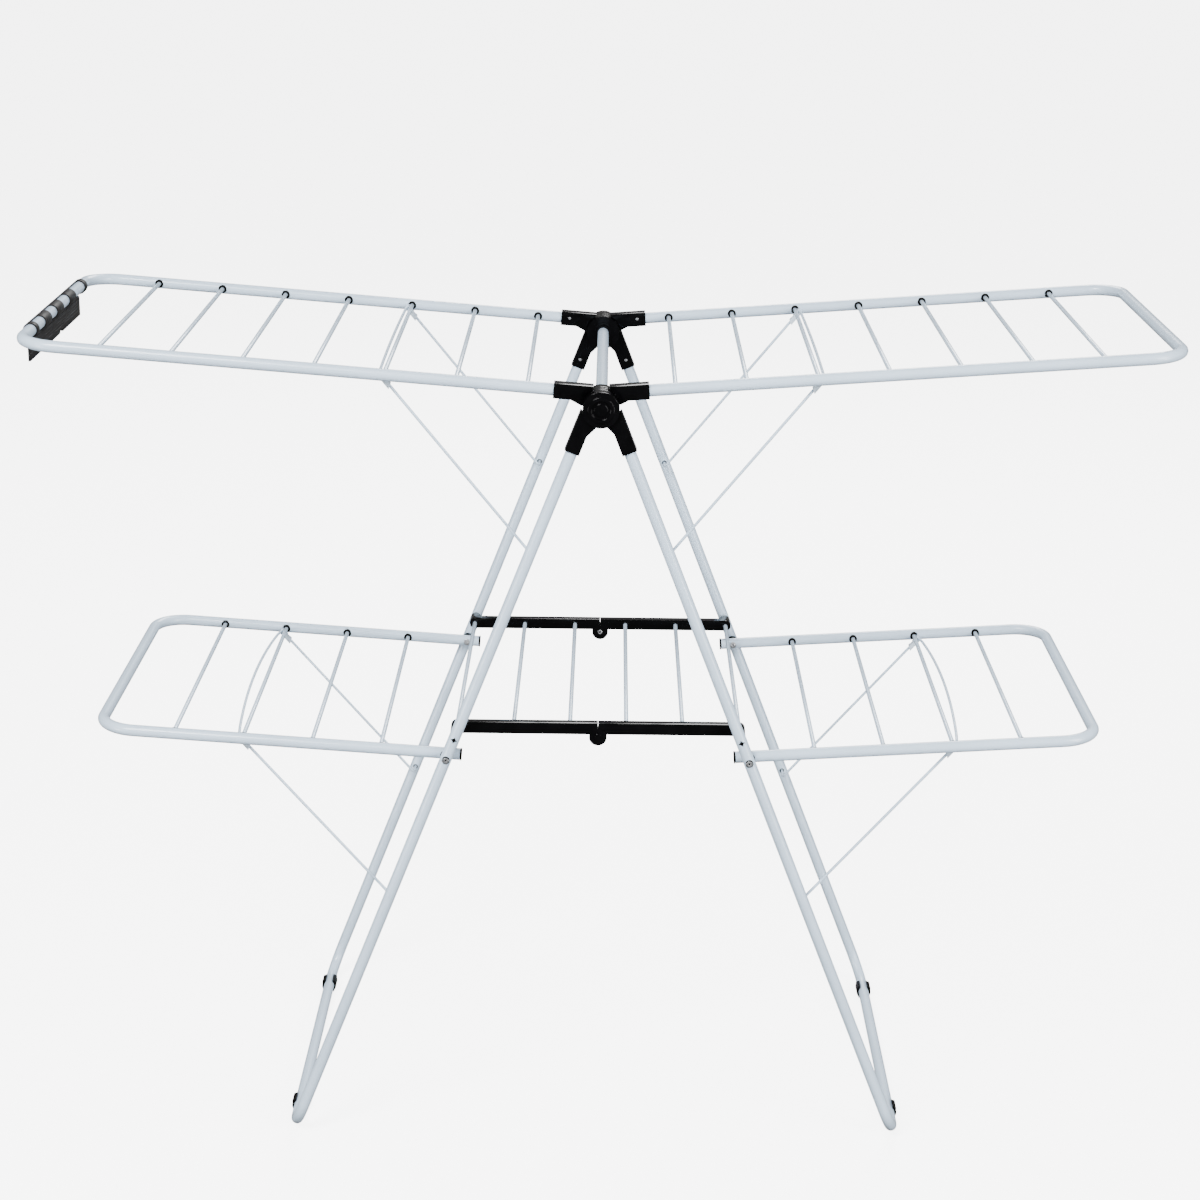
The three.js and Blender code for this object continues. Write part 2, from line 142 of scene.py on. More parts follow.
BOLT = Sizes(
    inner=0.0040,
    outer=0.0015,
    outer_head=(0.0004, 0.0026, 0.0042),
    inner_head=(0.0022, 0.0003, 0.0048),
    bore=0.0014,
    outer_bore=0.0010,
    inner_bore=0.0016,
    # The ring under the outer head is black and stands in for the shadow round the head: painted
    # shade.
    seat=(0.0010, 0.0012, 0.0054),
    spacer=0.0085,
    play=0.0003,
)
LOCK_WASHER = Sizes(radius=0.0046, sunk=0.0010, proud=0.0007, root=0.55, below_shelf=0.006)
END_CAP = Sizes(gap=0.0003, rim=0.0025, radius=0.0086, flat=0.0030, edge=0.0010, dish=0.0006)
HOLDER = Sizes(
    sleeve=(-0.155, 0.170),
    windows=((-0.143, -0.101), (-0.066, -0.027), (0.010, 0.054), (0.092, 0.157)),
    radius=0.0101,
    bore=0.0083,
    mouth=(0.001, 0.003),
    window_start=0.003,
    reach=0.03,
    plate=(0.0015, 0.0045),
    plate_top=0.0087,
    plate_end=0.137,
    notch=(0.001, 0.005, 0.015, 0.019),
    notch_height=0.004,
)
RIB = Sizes(count=4, first=0.0078, pitch=0.0042, height=0.0012, proud=0.0004, margin=0.004)
SLOT = Sizes(start=0.006, stop=0.0105, pitch=0.0085, low=0.0030, high=0.0014, margin=0.012)

LENS = 74.66
CAMERA_PLACE = (0.0114, -3.3958, 1.7985)
CAMERA_PITCH, CAMERA_YAW, CAMERA_ROLL = radians(-17.61), radians(-0.19), radians(0.602)
LIGHT_AIM = (0, 0, 0.6)
LIGHTS = (  # name, place, width, power
    ("key", (-1.8, -3.4, 4.2), 2.0, 430),
    ("fill", (3.2, -3.4, 2.2), 2.0, 200),
    ("back", (0.6, 3.4, 3.6), 2.2, 170),
    ("low_left", (-3.4, -2.6, 0.4), 1.4, 90),
    ("low_right", (3.4, -2.6, 0.4), 1.4, 90),
)
SKY_STRENGTH = 0.24


# Places, worked out from the frame.
def middle(node):
    low, high = (Vector(corner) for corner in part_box(node))
    return (low + high) / 2


def stand(side, along, origin=HUB):
    """A turned frame at origin: X runs outwards along the given way, and Z to its outer side."""
    out = Vector((abs(along.x), 0, along.z)).normalized()
    columns = (
        Vector((side * out.x, 0, out.z)),
        Vector((0, side, 0)),
        Vector((-side * out.z, 0, out.x)),
    )
    turn = Matrix(columns).transposed().to_4x4()
    return Matrix.Translation(origin) @ turn


def leg_stand(side_name):
    side = SIDES[side_name]
    upper = pivots[f"{side_name}_upper_strut_fold"]
    lower = pivots[f"{side_name}_lower_strut_fold"]
    return stand(side, lower - upper)


def upper_stand(side_name):
    first = middle(f"{side_name}_upper_rod_1")
    last = middle(f"{side_name}_upper_rod_7")
    return stand(SIDES[side_name], last - first)


def lower_stand(side_name):
    pivot = pivots[f"{side_name}_lower_wing_fold"]
    rise = sizes().lower_rise
    return stand(SIDES[side_name], Vector((cos(rise), 0, sin(rise))), pivot)


def lower_rod(side_name, number):
    along = sizes().lower_first + (number - 1) * sizes().lower_pitch
    return lower_stand(side_name) @ Vector((along, 0, 0))


def inside(turned, point):
    """A point of the row frame, in a turned frame."""
    return turned.inverted() @ point


def leg_depth():
    return abs(middle("left_front_leg_arm").y)


def rail_depth():
    return abs(middle("left_front_wing_arm").y)


def shelf_depth():
    low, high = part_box("left_rear_shelf_rail")
    return low[1] + sizes().rivet_proud + sizes().shelf_width / 2


def sizes():
    return bpy.context.scene.rack_sizes


def finishes():
    return bpy.context.scene.rack_finishes


# Modelling.
def deselect():
    if bpy.context.mode != "OBJECT":
        bpy.ops.object.mode_set(mode="OBJECT")
    bpy.ops.object.select_all(action="DESELECT")


def pick(*objects):
    deselect()
    for obj in objects:
        obj.select_set(True)
    bpy.context.view_layer.objects.active = objects[0]


def edit(obj, kind="VERT"):
    pick(obj)
    bpy.ops.object.mode_set(mode="EDIT")
    bpy.ops.mesh.select_mode(type=kind)


def choose_all():
    bpy.ops.mesh.select_all(action="SELECT")


def leave():
    bpy.ops.object.mode_set(mode="OBJECT")


def choose(obj, test, kind="VERT"):
    """Selects, in edit mode, the vertices or faces that pass the test on their place or normal."""
    bpy.ops.mesh.select_all(action="DESELECT")
    leave()
    parts = obj.data.vertices if kind == "VERT" else obj.data.polygons
    for part in parts:
        part.select = test(part)
    bpy.ops.object.mode_set(mode="EDIT")


def edit_faces(obj, faces):
    """Opens a piece for editing with the faces that pass the test selected."""
    edit(obj, "FACE")
    choose(obj, faces, "FACE")


def crown(thickness, push):
    """Insets the selected faces twice, and pushes them each time."""
    for _ in range(2):
        bpy.ops.mesh.inset(thickness=thickness)
        bpy.ops.transform.translate(value=(0, push, 0))
    leave()


def block(low, high, name="block"):
    deselect()
    low, high = Vector(low), Vector(high)
    bpy.ops.mesh.primitive_cube_add(size=1, location=(low + high) / 2, scale=high - low)
    return settle(bpy.context.object, name)


def settle(obj, name):
    """Moves the object's place, turn and size into its mesh."""
    obj.name = name
    pick(obj)
    bpy.ops.object.transform_apply(location=True, rotation=True, scale=True)
    return obj


def drum(start, stop, radius, sides=32, name="drum"):
    """A round bar between two points."""
    deselect()
    start, stop = Vector(start), Vector(stop)
    way = stop - start
    bpy.ops.mesh.primitive_cylinder_add(
        vertices=sides,
        radius=radius,
        depth=way.length,
        location=(start + stop) / 2,
        rotation=way.to_track_quat("Z", "Y").to_euler(),
    )
    return settle(bpy.context.object, name)


def slab(outline, y0, y1, name="slab"):
    """A flat plate between two depths with the given outline in X and Z, convex at its start."""
    deselect()
    bpy.ops.mesh.primitive_circle_add(vertices=len(outline), radius=1, fill_type="NGON")
    plate = settle(bpy.context.object, name)
    for vertex, (x, z) in zip(plate.data.vertices, outline):
        vertex.co = (x, y0, z)
    edit(plate)
    choose_all()
    bpy.ops.mesh.extrude_region_move(TRANSFORM_OT_translate={"value": (0, y1 - y0, 0)})
    choose_all()
    bpy.ops.mesh.normals_make_consistent(inside=False)
    leave()
    return plate


def drum_y(x, z, y0, y1, radius, sides=32, name="drum"):
    return drum((x, y0, z), (x, y1, z), radius, sides, name)


def wheel(y0, y1, radius, sides):
    """A round bar along the Y axis, from which a piece to be copied is made."""
    return drum_y(0, 0, y0, y1, radius, sides)


def pipe(name, corners, radius, bend=0.0, sides=28, level=0.0):
    """A round bar that turns square corners: a ring extruded along and spun round the bends."""
    deselect()
    points = [Vector((x, y, level)) for x, y in corners]
    heading = (points[1] - points[0]).normalized()
    bpy.ops.mesh.primitive_circle_add(
        vertices=sides,
        radius=radius,
        location=points[0],
        rotation=heading.to_track_quat("Z", "Y").to_euler(),
    )
    obj = settle(bpy.context.object, name)
    edit(obj)
    choose_all()
    at = points[0]
    for i in range(1, len(points)):
        heading = (points[i] - points[i - 1]).normalized()
        final = i == len(points) - 1
        stop = points[i] if final else points[i] - heading * bend
        bpy.ops.mesh.extrude_region_move(TRANSFORM_OT_translate={"value": stop - at})
        if final:
            break
        turn = (points[i + 1] - points[i]).normalized()
        centre = stop + turn * bend
        axis = heading.cross(turn)
        bpy.ops.mesh.spin(steps=BEND_STEPS, angle=-pi / 2, center=centre, axis=axis)
        at = centre + heading * bend
    choose_all()
    bpy.ops.mesh.remove_doubles(threshold=NEAR)
    bpy.ops.mesh.fill_holes(sides=0)
    bpy.ops.mesh.normals_make_consistent(inside=False)
    leave()
    return obj


def combine(obj, other, operation):
    """Joins or cuts with another object, which is used up."""
    pick(obj)
    modifier = obj.modifiers.new("combine", "BOOLEAN")
    modifier.operation = operation
    modifier.object = other
    modifier.solver = "EXACT"
    bpy.ops.object.modifier_apply(modifier=modifier.name)
    pick(other)
    bpy.ops.object.delete()
    edit(obj)
    choose_all()
    bpy.ops.mesh.fill_holes(sides=8)
    leave()
    return obj


def add(obj, other):
    return combine(obj, other, "UNION")


def cut(obj, other):
    return combine(obj, other, "DIFFERENCE")


def soften(obj, width=0.0006, segments=3, angle=40):
    """Rounds every sharp edge."""
    pick(obj)
    modifier = obj.modifiers.new("soften", "BEVEL")
    modifier.width = width
    modifier.segments = segments
    modifier.limit_method = "ANGLE"
    modifier.angle_limit = radians(angle)
    modifier.harden_normals = False
    bpy.ops.object.modifier_apply(modifier=modifier.name)
    return obj


def merge(objects, name):
    pick(*objects)
    bpy.ops.object.join()
    bpy.context.object.name = name
    return bpy.context.object


def move(obj, matrix):
    """Places a finished shape in the row frame, with its place in its mesh."""
    obj.matrix_world = matrix
    return settle(obj, obj.name)


def copy(model, name, place):
    """A copy of a modelled piece, with a mesh of its own, at its place."""
    pick(model)
    bpy.ops.object.duplicate()
    twin = bpy.context.object
    twin.name = name
    return move(twin, place)


def discard(*objects):
    pick(*objects)
    bpy.ops.object.delete()


def shift(x=0.0, y=0.0, z=0.0):
    return Matrix.Translation((x, y, z))


def facing(way):
    """Turns a piece modelled to face along +Y so that it faces along way * Y."""
    return Matrix.Rotation(0 if way > 0 else pi, 4, "Z")


def dress(obj, finish, body, nodes=(), slot=None, smooth=35):
    """Gives a finished piece its smoothing, material, body and the CAD nodes that it stands for."""
    pick(obj)
    bpy.ops.object.shade_smooth_by_angle(angle=radians(smooth))
    obj.data.materials.clear()
    obj.data.materials.append(FINISHES[finish]())
    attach(obj, body)
    if nodes:
        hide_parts(*nodes)
    return obj


def fit(model, name, place, *finish, **settings):
    """A dressed copy of a modelled piece, at its place."""
    dress(copy(model, name, place), *finish, **settings)


# Shader arithmetic and materials.
class Field:
    """A shader value: Python arithmetic on it adds Math nodes."""

    def __init__(self, paint, socket):
        self.paint = paint
        self.socket = socket

    def _math(self, operation, first, second):
        return self.paint.node("ShaderNodeMath", {"operation": operation}, {0: first, 1: second})

    def __add__(self, other):
        return self._math("ADD", self, other)

    def __radd__(self, other):
        return self._math("ADD", other, self)

    def __sub__(self, other):
        return self._math("SUBTRACT", self, other)

    def __rsub__(self, other):
        return self._math("SUBTRACT", other, self)

    def __mul__(self, other):
        return self._math("MULTIPLY", self, other)

    def __rmul__(self, other):
        return self._math("MULTIPLY", other, self)


class Paint:
    """One material's node tree, with one method that makes any node."""

    def __init__(self, name):
        self.material = bpy.data.materials.new(name)
        self.material.use_nodes = True
        self.tree = self.material.node_tree
        self.shader = self.tree.nodes["Principled BSDF"]
        self.place = self.node("ShaderNodeTexCoord", output="Object")

    def node(self, kind, settings=None, inputs=None, output=0):
        made = self.tree.nodes.new(kind)
        for key, value in (settings or {}).items():
            setattr(made, key, value)
        for key, value in (inputs or {}).items():
            self.feed(made.inputs[key], value)
        return Field(self, made.outputs[output])

    def feed(self, socket, value):
        if isinstance(value, Field):
            self.tree.links.new(value.socket, socket)
        else:
            socket.default_value = value

    def noise(self, scale, detail=2.0, rough=0.5, place=None):
        vector = place or self.place
        inputs = {"Vector": vector, "Scale": scale, "Detail": detail, "Roughness": rough}
        return self.node("ShaderNodeTexNoise", None, inputs)

    def stretched(self, scale):
        return self.node("ShaderNodeMapping", None, {"Vector": self.place, "Scale": scale})

    def blend(self, first, second, amount):
        settings = {"data_type": "RGBA", "clamp_factor": True}
        return self.node("ShaderNodeMix", settings, {0: amount, 6: first, 7: second}, output=2)

    def range(self, value, low, high):
        inputs = {"Value": value, "From Min": low, "From Max": high}
        return self.node("ShaderNodeMapRange", None, inputs)

    def bump(self, height, distance, strength=1.0):
        inputs = {"Height": height, "Distance": distance, "Strength": strength}
        normal = self.node("ShaderNodeBump", None, inputs)
        self.feed(self.shader.inputs["Normal"], normal)

    def set(self, **values):
        for key, value in values.items():
            self.feed(self.shader.inputs[key.replace("_", " ")], value)


def shade(colour, factor=1.0):
    return tuple(min(channel * factor, 1.0) for channel in colour) + (1.0,)


def made_once(maker):
    """Makes a material the first time that it is asked for."""
    kept = []

    def give():
        if not kept:
            kept.append(maker())
        return kept[0]

    return give


@made_once
def powder_coat():
    paint = Paint("powder_coat")
    look = finishes()
    drift = paint.noise(9.0, 3.0)
    speckle = paint.noise(2600.0, 2.0)
    pebble = paint.noise(820.0, 3.0, 0.55)
    cool = paint.blend(shade(look.coat), shade(look.coat, 0.93), paint.range(drift, 0.35, 0.65))
    flecks = paint.range(speckle, 0.60, 0.74) * 0.16
    base = paint.blend(cool, shade(look.coat, 0.86), flecks)
    paint.set(Base_Color=base, Roughness=look.coat_roughness + (pebble - 0.5) * 0.10 + drift * 0.05)
    paint.set(Coat_Roughness=0.12, Specular_IOR_Level=0.5)
    paint.set(Coat_Weight=0.25 + (drift - 0.5) * 0.2)
    paint.bump(pebble * 0.8 + speckle * 0.2, 0.00012, 0.4)
    return paint.material


@made_once
def black_plastic():
    paint = Paint("black_plastic")
    look = finishes()
    grain = paint.noise(3200.0, 2.0)
    flow = paint.noise(45.0, 3.0, place=paint.stretched((1.0, 2.4, 1.0)))
    scuff = paint.noise(260.0, 4.0, 0.7, place=paint.stretched((1.0, 0.18, 1.0)))
    marks = paint.range(scuff, 0.58, 0.70)
    base = paint.blend(shade(look.plastic), shade(look.plastic, 2.0), paint.range(flow, 0.4, 0.75))
    base = paint.blend(base, shade(look.plastic, 5.0), marks * 0.3)
    rough = look.plastic_roughness + (flow - 0.5) * 0.10 + marks * 0.12
    paint.set(Base_Color=base, Roughness=rough, IOR=1.25)
    paint.bump(grain * 0.3 + flow * 0.7, 0.00003, 0.08)
    return paint.material


@made_once
def holder_plastic():
    paint = Paint("holder_plastic")
    look = finishes()
    grain = paint.noise(1500.0, 3.0, 0.6)
    drift = paint.noise(60.0, 3.0)
    base = paint.blend(shade(look.holder), shade(look.holder, 1.7), paint.range(drift, 0.35, 0.8))
    paint.set(Base_Color=base, Roughness=0.52 + (grain - 0.5) * 0.2 + (drift - 0.5) * 0.1, IOR=1.3)
    paint.bump(grain, 0.00015, 0.5)
    return paint.material


@made_once
def zinc_steel():
    paint = Paint("zinc_steel")
    look = finishes()
    bloom = paint.noise(420.0, 4.0, 0.6)
    turned = paint.noise(2200.0, 2.0, place=paint.stretched((1.0, 0.1, 1.0)))
    base = paint.blend(shade(look.steel), shade(look.steel, 0.72), paint.range(bloom, 0.42, 0.68))
    paint.set(Base_Color=base, Metallic=1.0, Roughness=0.24 + bloom * 0.18)
    paint.bump(turned, 0.00006, 0.5)
    return paint.material


@made_once
def grommet_rubber():
    paint = Paint("grommet_rubber")
    look = finishes()
    grain = paint.noise(2400.0, 3.0)
    dust = paint.noise(150.0, 3.0)
    base = paint.blend(shade(look.plastic), shade(look.plastic, 2.0), paint.range(dust, 0.45, 0.8))
    paint.set(Base_Color=base, Roughness=0.45 + (grain - 0.5) * 0.2, IOR=1.2)
    paint.bump(grain, 0.00008, 0.3)
    return paint.material


@made_once
def white_plastic():
    paint = Paint("white_plastic")
    look = finishes()
    grain = paint.noise(2600.0, 2.0)
    flow = paint.noise(70.0, 2.0)
    base = paint.blend(shade(look.clip), shade(look.clip, 0.9), paint.range(flow, 0.4, 0.7))
    paint.set(Base_Color=base, Roughness=0.34 + (flow - 0.5) * 0.12)
    paint.bump(grain, 0.00008, 0.4)
    return paint.material


@made_once
def studio_floor():
    paint = Paint("studio_floor")
    look = finishes()
    drift = paint.noise(0.6, 2.0)
    base = paint.blend(shade(look.floor), shade(look.floor, 0.985), drift)
    paint.set(Base_Color=base, Roughness=0.85, Specular_IOR_Level=0.0)
    paint.set(Emission_Color=shade(look.floor), Emission_Strength=look.floor_glow)
    return paint.material


FINISHES = {
    "coat": powder_coat,
    "plastic": black_plastic,
    "holder": holder_plastic,
    "steel": zinc_steel,
    "rubber": grommet_rubber,
    "clip": white_plastic,
}


def length(name, default, description):
    return FloatProperty(
        name=name, description=description, default=default, unit="LENGTH", precision=4
    )


def colour(name, default, description):
    return FloatVectorProperty(
        name=name, description=description, default=default, subtype="COLOR", size=3, min=0, max=1
    )


class RackSizes(bpy.types.PropertyGroup):
    tube: length("Tube radius", 0.008, "Outer radius of the frame tubes")
    rod: length("Rod radius", 0.003, "Radius of the hanging rods")
    wire: length("Wire radius", 0.002, "Radius of the strut wire")
    leg_bend: length("Foot bend", 0.045, "Middle radius of the bends at the feet")
    wing_bend: length("Wing bend", 0.048, "Middle radius of the wings' corners")
    socket_floor: length("Socket floor", 0.031, "Where a tube starts, from the hub axis")
    hub: length("Hub radius", 0.024, "Radius of the hub's discs")
    upper_reach: length("Upper reach", 0.760, "Middle of an upper wing's end bar from the hub")
    lower_reach: length("Lower reach", 0.474, "Middle of a lower wing's end bar from its pivot")
    lower_stub: length("Lower stub", 0.0175, "How far a lower rail runs past its pivot")
    lower_first: length("First lower rod", 0.091, "First lower rod from the pivot")
    lower_pitch: length("Lower rod pitch", 0.0936, "Spacing of the lower rods")
    lower_rise: FloatProperty(
        name="Lower rise",
        description="How far a lower wing rises outwards",
        default=radians(3.7),
        unit="ROTATION",
    )
    shelf_height: length("Shelf rail height", 0.016, "Height of the shelf rails")
    shelf_width: length("Shelf rail width", 0.012, "Thickness of the shelf rails")
    rivet_proud: length("Rivet head", 0.0016, "How far a knuckle rivet stands proud")
    knuckle: length("Knuckle radius", 0.012, "Radius of the shelf's knuckle discs")
    strut_arm: length("Strut arm", 0.227, "Strut arms from the middle plane")
    strut_beyond: length("Strut overhang", 0.004, "Ends of the cross wire past the rod")
    upper_bow: length("Upper bow", 0.002, "Middle of an upper cross wire past its ends")
    lower_bow: length("Lower bow", 0.013, "Middle of a lower cross wire past its ends")
    strut_bend: length("Strut bend", 0.007, "Middle radius of the wire's corners")
    strut_side: length("Strut offset", 0.0055, "Wire's middle from the rod's middle")
    tube_sides: IntProperty(
        name="Tube sides", description="Sides of a tube's section", default=32, min=12, max=64
    )


class RackFinishes(bpy.types.PropertyGroup):
    coat: colour("Powder coat", (0.615, 0.755, 0.905), "Colour of the coated steel")
    coat_roughness: FloatProperty(
        name="Coat roughness", description="Roughness of the powder coat", default=0.24, min=0, max=1
    )
    plastic: colour("Black plastic", (0.0010, 0.0010, 0.0012), "Colour of the mouldings")
    plastic_roughness: FloatProperty(
        name="Plastic roughness", description="Roughness of the mouldings", default=0.14, min=0, max=1
    )
    holder: colour("Holder", (0.009, 0.0085, 0.0085), "Colour of the clip-on holder")
    steel: colour("Zinc", (0.60, 0.61, 0.63), "Colour of the screws and bolts")
    clip: colour("Hook clips", (0.62, 0.72, 0.82), "Colour of the strut clips")
    floor: colour("Floor", (0.92, 0.92, 0.92), "Colour of the studio floor")
    floor_glow: FloatProperty(
        name="Floor glow", description="How brightly the lit floor shows", default=6.0, min=0, max=20
    )


class RACK_OT_leg_frames(bpy.types.Operator):
    """Bends the two leg frames"""

    bl_idname = "rack.leg_frames"
    bl_label = "Leg Frames"
    bl_options = {"REGISTER", "UNDO"}

    def execute(self, context):
        size = sizes()
        for side_name in SIDES:
            turned = leg_stand(side_name)
            line = inside(turned, pivots[f"{side_name}_upper_strut_fold"]).z
            depth = leg_depth()
            foot = inside(turned, middle(f"{side_name}_front_foot_clip")).x
            foot_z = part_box(f"{side_name}_leg_frame")[0][2] + size.tube
            low = turned @ Vector((foot, 0, line))
            foot += (low.z - foot_z) / -turned.col[0].z
            corners = [
                (size.socket_floor, -depth),
                (foot, -depth),
                (foot, depth),
                (size.socket_floor, depth),
            ]
            name = f"{side_name}_leg_tube"
            tube = pipe(name, corners, size.tube, size.leg_bend, size.tube_sides, line)
            move(tube, turned)
            dress(tube, "coat", f"{side_name}_leg", [f"{side_name}_leg_frame"])
        return {"FINISHED"}


class RACK_OT_wing_frames(bpy.types.Operator):
    """Bends the upper and lower wing frames"""

    bl_idname = "rack.wing_frames"
    bl_label = "Wing Frames"
    bl_options = {"REGISTER", "UNDO"}

    def execute(self, context):
        size = sizes()
        for side_name in SIDES:
            turned = upper_stand(side_name)
            line = inside(turned, middle(f"{side_name}_upper_rod_1")).z
            self.bend(f"{side_name}_upper_wing", turned, size.socket_floor, size.upper_reach, line)
            turned = lower_stand(side_name)
            self.bend(f"{side_name}_lower_wing", turned, -size.lower_stub, size.lower_reach, 0)
        return {"FINISHED"}

    def bend(self, body, turned, start, reach, line):
        size = sizes()
        depth = rail_depth()
        corners = [(start, -depth), (reach, -depth), (reach, depth), (start, depth)]
        tube = pipe(f"{body}_tube", corners, size.tube, size.wing_bend, size.tube_sides, line)
        move(tube, turned)
        dress(tube, "coat", body, [f"{body}_frame"])


class RACK_OT_rods(bpy.types.Operator):
    """Makes the hanging rods and the grommets at their ends"""

    bl_idname = "rack.rods"
    bl_label = "Rods"
    bl_options = {"REGISTER", "UNDO"}

    def execute(self, context):
        size = sizes()
        end = rail_depth() - size.tube
        long_rod = self.rod(end)
        short_rod = self.rod(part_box("left_shelf_rod_1")[1][1])
        collar = self.collar()
        for side_name in SIDES:
            body = f"{side_name}_upper_wing"
            upper = [middle(f"{side_name}_upper_rod_{i}") for i in range(1, UPPER_RODS + 1)]
            for i, at in enumerate(upper, 1):
                node = f"{side_name}_upper_rod_{i}"
                fit(long_rod, f"{node}_bar", shift(at.x, 0, at.z), "coat", body, [node])
            self.grommets(collar, body, upper, end)
            body = f"{side_name}_lower_wing"
            lower = [lower_rod(side_name, i) for i in range(1, LOWER_RODS + 1)]
            for i, at in enumerate(lower, 1):
                fit(long_rod, f"{side_name}_lower_rod_{i}", shift(at.x, 0, at.z), "coat", body)
            self.grommets(collar, body, lower, end)
            for i in range(1, SHELF_RODS + 1):
                node = f"{side_name}_shelf_rod_{i}"
                at = middle(node)
                place = shift(at.x, 0, at.z)
                fit(short_rod, f"{node}_bar", place, "coat", f"{side_name}_shelf", [node])
        discard(long_rod, short_rod, collar)
        return {"FINISHED"}

    def rod(self, reach):
        bar = wheel(-reach, reach, sizes().rod, 24)
        return soften(bar, width=0.0004, segments=2)

    def collar(self):
        """A moulded grommet: a flat flange with rounded edges and a bore for the rod."""
        rod = sizes().rod
        collar = wheel(-GROMMET.proud, GROMMET.sunk, GROMMET.radius, 32)
        cut(collar, wheel(-PAST, PAST, rod + GROMMET.play, 32))
        return soften(collar, width=0.0007, segments=3)

    def grommets(self, collar, body, places, end):
        for i, at in enumerate(places, 1):
            for end_name, sign in ENDS.items():
                place = shift(at.x, sign * end, at.z) @ facing(sign)
                fit(collar, f"{body}_{end_name}_grommet_{i}", place, "rubber", body, smooth=60)


class RACK_OT_hub(bpy.types.Operator):
    """Makes the top bar, its flanges and the hub caps"""

    bl_idname = "rack.hub"
    bl_label = "Hub"
    bl_options = {"REGISTER", "UNDO"}

    def execute(self, context):
        size = sizes()
        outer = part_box("rear_hub_flange")[1][1]
        inner = outer - FLANGE.thick
        bar_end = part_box("top_bar")[1][1]
        bar = pipe("top_tube", [(0, -bar_end), (0, bar_end)], size.tube, sides=size.tube_sides)
        move(bar, Matrix.Translation(HUB))
        dress(bar, "coat", "hub", ["top_bar"])
        flange = wheel(inner, outer, size.hub, 48)
        for radius, proud in FLANGE.collars:
            add(flange, wheel(inner - proud, outer, radius, 48))
        cut(flange, wheel(inner - PAST, outer - FLANGE.floor, size.tube + FIT, 40))
        soften(flange, 0.0006)
        cap = self.cap(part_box("rear_hub_cap")[1][1])
        for end_name, sign in ENDS.items():
            place = Matrix.Translation(HUB) @ facing(sign)
            fit(flange, f"{end_name}_flange", place, "plastic", "hub", [f"{end_name}_hub_flange"])
            fit(cap, f"{end_name}_cap", place, "plastic", "hub", [f"{end_name}_hub_cap"])
        discard(flange, cap)
        return {"FINISHED"}

    def cap(self, face):
        """A stepped cap with a raised ring and a dished middle, on the pin through the arms."""
        back = face - HUB_CAP.depth
        cap = wheel(back, face - HUB_CAP.ring, sizes().hub, 64)
        edit_faces(cap, lambda f: f.normal.y > 0.9)
        for inset, push in HUB_CAP.steps:
            bpy.ops.mesh.inset(thickness=inset)
            bpy.ops.mesh.extrude_region_move(TRANSFORM_OT_translate={"value": (0, push, 0)})
        leave()
        soften(cap, width=0.0007, segments=3, angle=50)
        pin = wheel(back - HUB_CAP.pin_length, back, HUB_CAP.pin, 24)
        return merge([cap, pin], "cap")


class RACK_OT_hub_arms(bpy.types.Operator):
    """Makes the eight arms that hold the tubes at the hub, with their screws"""

    bl_idname = "rack.hub_arms"
    bl_label = "Hub Arms"
    bl_options = {"REGISTER", "UNDO"}

    def execute(self, context):
        screw = self.screw(SCREW.radius)
        for side_name, side in SIDES.items():
            kinds = (
                ("leg", leg_stand(side_name), f"{side_name}_upper_strut_fold", ARM.leg_reach),
                ("wing", upper_stand(side_name), None, ARM.wing_reach),
            )
            for kind, turned, line_from, reach in kinds:
                on_line = pivots[line_from] if line_from else middle(f"{side_name}_upper_rod_1")
                line = inside(turned, on_line).z
                body = f"{side_name}_leg" if kind == "leg" else f"{side_name}_upper_wing"
                for end_name, sign in ENDS.items():
                    node = f"{side_name}_{end_name}_{kind}_arm"
                    low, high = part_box(node)
                    lap = (low[1], middle(node).y) if side < 0 else (middle(node).y, high[1])
                    depth = (low[1], high[1])
                    self.arm(node, body, turned, line, reach, side, depth, lap)
                    way = -sign * side
                    face = max(way * side * low[1], way * side * high[1]) * way - way * SCREW.sunk
                    at = shift(reach - SCREW.from_end, face, line + SCREW.above) @ facing(way)
                    fit(screw, f"{node}_screw", turned @ at, "steel", body)
        discard(screw)
        return {"FINISHED"}

    def arm(self, node, body, turned, line, reach, side, depth, lap):
        """Built in the arm's own frame, where depth runs along side * Y."""
        y0, y1 = sorted(side * y for y in depth)
        l0, l1 = sorted(side * y for y in lap)
        l0, l1 = l0 + FIT, l1 - FIT
        bottom, top = line - ARM.half, line + ARM.half
        hub = sizes().hub
        arm = drum_y(0, 0, l0, l1, hub, 64, f"{node}_moulding")
        low = bottom - ARM.gusset
        x0, x1, x2, x3, x4 = ARM.web
        web = [(x1, top - ARM.step), (x4, top - ARM.step), (x4, bottom + ARM.step)]
        web += [(x3, bottom), (x2, low), (x0, low)]
        add(arm, slab(web, l0, l1))
        root = sqrt(hub**2 - (bottom + ARM.root) ** 2)
        socket = slab([(ARM.socket, top), (reach, top), (reach, bottom), (root, bottom)], y0, y1)
        cut(socket, wheel(y0 - PAST, y1 + PAST, hub + ARM.step, 58))
        add(arm, socket)
        middle_y = (y0 + y1) / 2
        floor = sizes().socket_floor
        cut(arm, drum((floor, middle_y, line), (reach + PAST, middle_y, line), ARM.bore, 40))
        soften(arm, width=0.0009, segments=3, angle=35)
        move(arm, turned)
        dress(arm, "plastic", body, [node])

    def screw(self, radius):
        """A small domed screw head with a cross recess."""
        head = wheel(0, radius * 0.30, radius, 28)
        edit_faces(head, lambda f: f.normal.y > 0.9)
        crown(radius * 0.25, radius * 0.05)
        for half_x, half_z in ((0.55, 0.12), (0.12, 0.55)):
            low = Vector((-half_x, 0.32, -half_z)) * radius
            cut(head, block(low, Vector((half_x, 1, half_z)) * radius))
        return head


